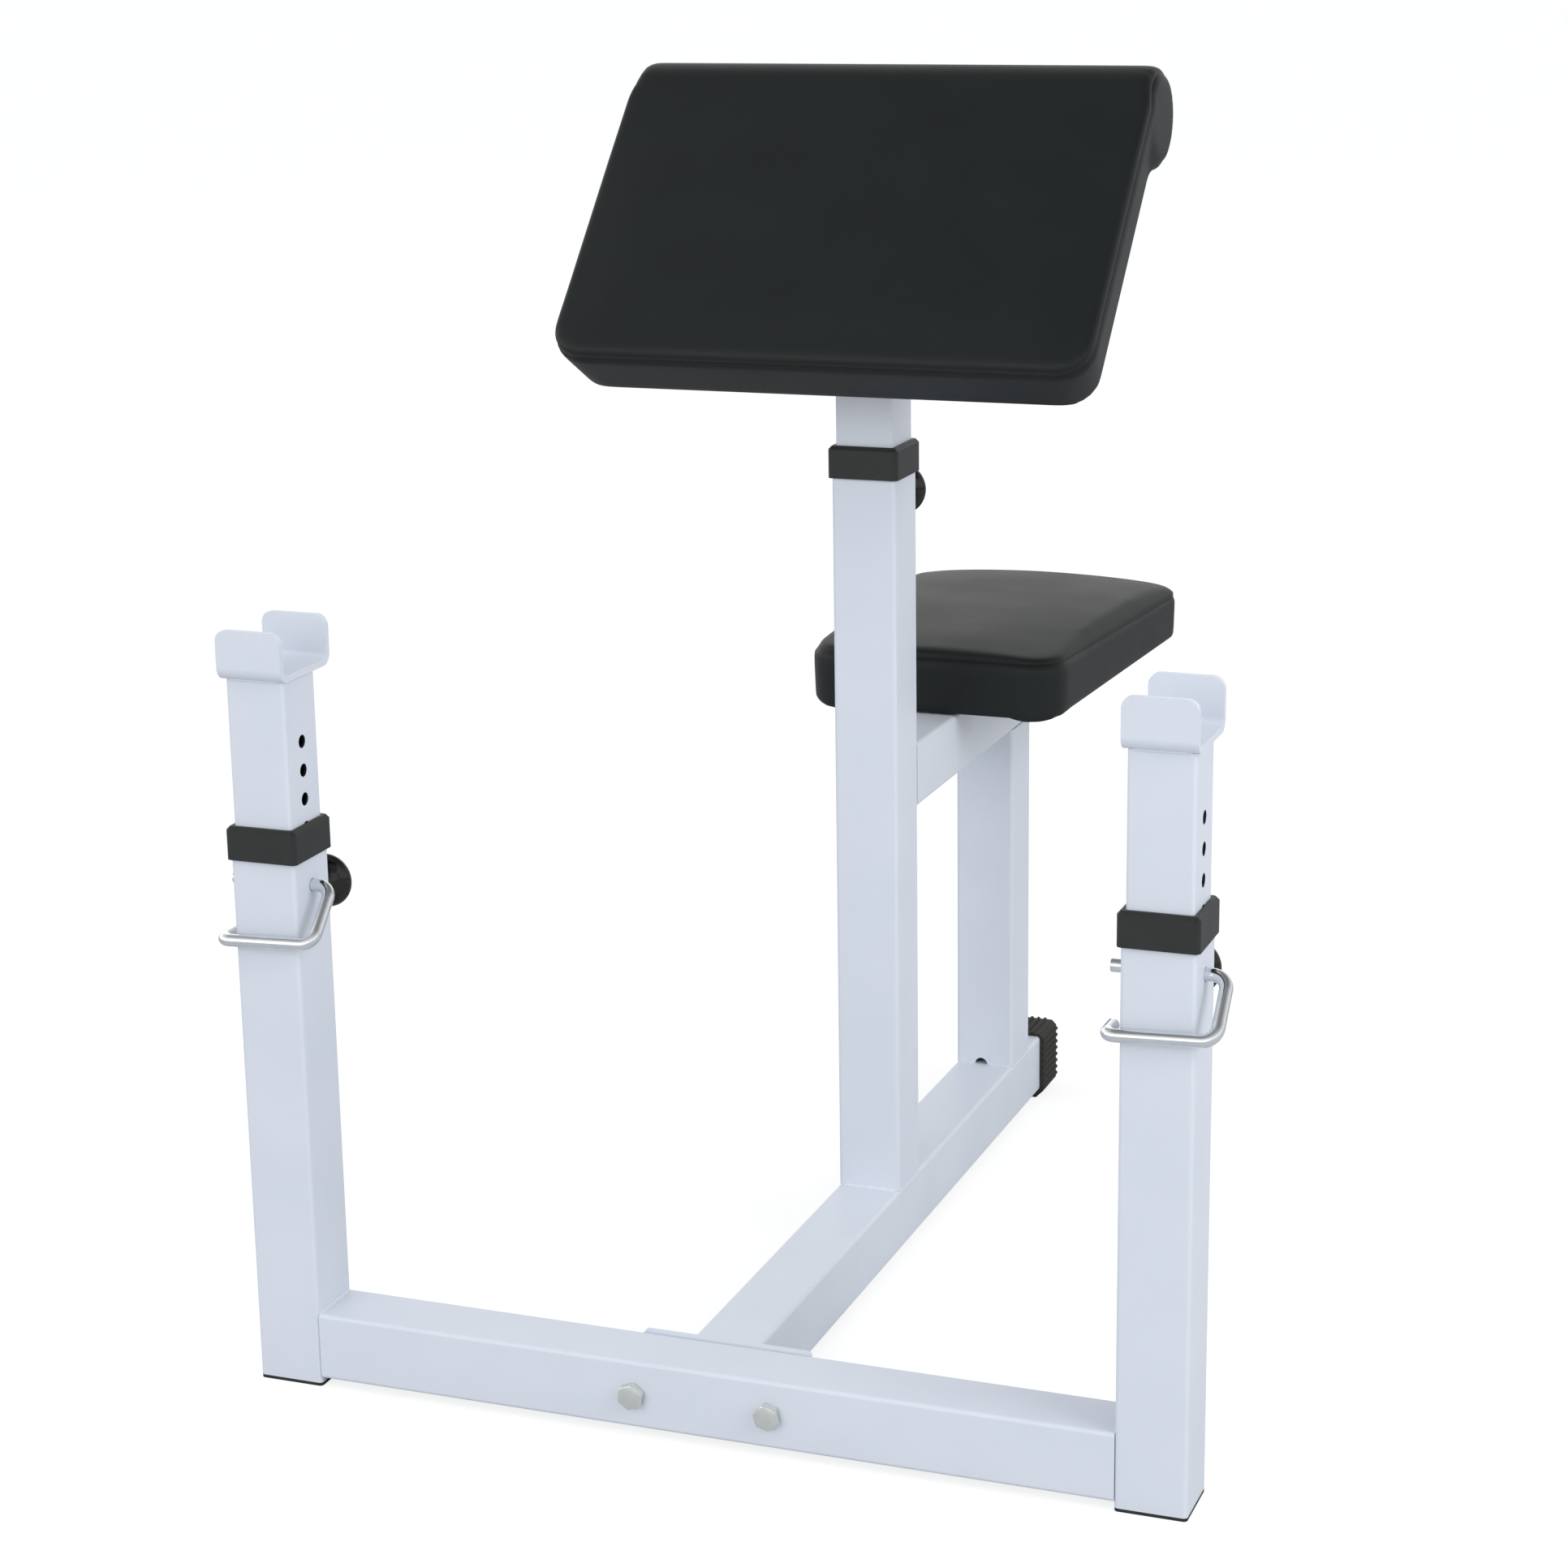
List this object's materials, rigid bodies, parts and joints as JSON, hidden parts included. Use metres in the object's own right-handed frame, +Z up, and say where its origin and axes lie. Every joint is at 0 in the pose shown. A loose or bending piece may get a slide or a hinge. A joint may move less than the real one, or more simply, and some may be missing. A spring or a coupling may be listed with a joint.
{
  "type": "preacher curl bench",
  "caption": "Free-standing gym bench for arm curls: sloping padded arm rest on a sliding post, padded seat behind, and two height-adjustable bar racks in front on a square-tube floor frame",
  "frame": {"origin": "on the floor, at the middle of the width between the uprights and the middle of the overall depth", "axes": "+X to the right as seen from the front, +Y from the racks back to the seat, +Z up"},
  "size_m": [0.7251, 0.8435, 0.9181],
  "materials": {
    "frame_white": "satin white powder coat",
    "black_rubber": "matte moulded rubber",
    "black_plastic": "fine grained",
    "knob_black": "glossy phenolic",
    "zinc_steel": "bright zinc",
    "pin_chrome": "polished chrome",
    "black_vinyl": "grained upholstery vinyl",
    "plywood": "raw plywood"
  },
  "bodies": {
    "frame": {"front_cross_tube": "frame_white", "left_upright": "frame_white", "right_upright": "frame_white", "base_spine": "frame_white", "spine_flange_plate": "frame_white", "pad_upright": "frame_white", "seat_post": "frame_white", "seat_bar": "frame_white", "seat_straps": "frame_white", "spine_end_cap": "black_rubber", "left_foot_plug": "black_plastic", "right_foot_plug": "black_plastic", "seat_bar_plug": "black_plastic", "left_collar": "black_plastic", "right_collar": "black_plastic", "pad_collar": "black_plastic", "flange_bolts": "zinc_steel", "flange_washers": "zinc_steel", "flange_nuts": "zinc_steel", "left_clamp_nut": "frame_white", "right_clamp_nut": "frame_white", "pull_pin_barrel": "zinc_steel", "pull_pin_spring": "zinc_steel", "seat_board": "plywood", "seat_cushion": "black_vinyl", "seat_screws": "zinc_steel"},
    "left_rack": {"left_rack_tube": "frame_white", "left_bar_cradle": "frame_white"},
    "right_rack": {"right_rack_tube": "frame_white", "right_bar_cradle": "frame_white"},
    "pad_carriage": {"pad_inner_post": "frame_white", "pad_mount_plate": "frame_white", "pad_board": "plywood", "pad_cushion": "black_vinyl", "pad_screws": "zinc_steel"},
    "left_pin": {"left_lock_pin": "pin_chrome"},
    "right_pin": {"right_lock_pin": "pin_chrome"},
    "left_clamp": {"left_clamp_knob": "knob_black", "left_clamp_stud": "zinc_steel"},
    "right_clamp": {"right_clamp_knob": "knob_black", "right_clamp_stud": "zinc_steel"},
    "pull_pin": {"pull_knob": "knob_black", "pull_plunger": "zinc_steel"}
  },
  "joints": [
    {"name": "pad_height", "type": "slide", "parent": "frame", "child": "pad_carriage", "axis": [0, 0, 1], "range_m": [-0.05, 0.1]},
    {"name": "left_rack_height", "type": "slide", "parent": "frame", "child": "left_rack", "axis": [0, 0, 1], "range_m": [-0.104, 0.1456]},
    {"name": "right_rack_height", "type": "slide", "parent": "frame", "child": "right_rack", "axis": [0, 0, 1], "range_m": [-0.104, 0.1456]},
    {"name": "left_pin_swing", "type": "hinge", "parent": "frame", "child": "left_pin", "pos_m": [-0.3218, -0.386, 0.3736], "axis": [-1, 0, 0], "range_deg": [0, 90]},
    {"name": "right_pin_swing", "type": "hinge", "parent": "frame", "child": "right_pin", "pos_m": [0.3218, -0.386, 0.3736], "axis": [-1, 0, 0], "range_deg": [0, 90]},
    {"name": "left_clamp_turn", "type": "hinge", "parent": "frame", "child": "left_clamp", "pos_m": [-0.3218, -0.361, 0.356], "axis": [0, 1, 0], "range_deg": [0, 360]},
    {"name": "right_clamp_turn", "type": "hinge", "parent": "frame", "child": "right_clamp", "pos_m": [0.3218, -0.361, 0.356], "axis": [0, 1, 0], "range_deg": [0, 360]},
    {"name": "pull_pin_draw", "type": "slide", "parent": "frame", "child": "pull_pin", "axis": [0, 1, 0], "range_m": [0, 0.007], "stiffness_N_per_m": 800, "springref_m": -0.01, "deforming": ["pull_pin_spring"]}
  ]
}
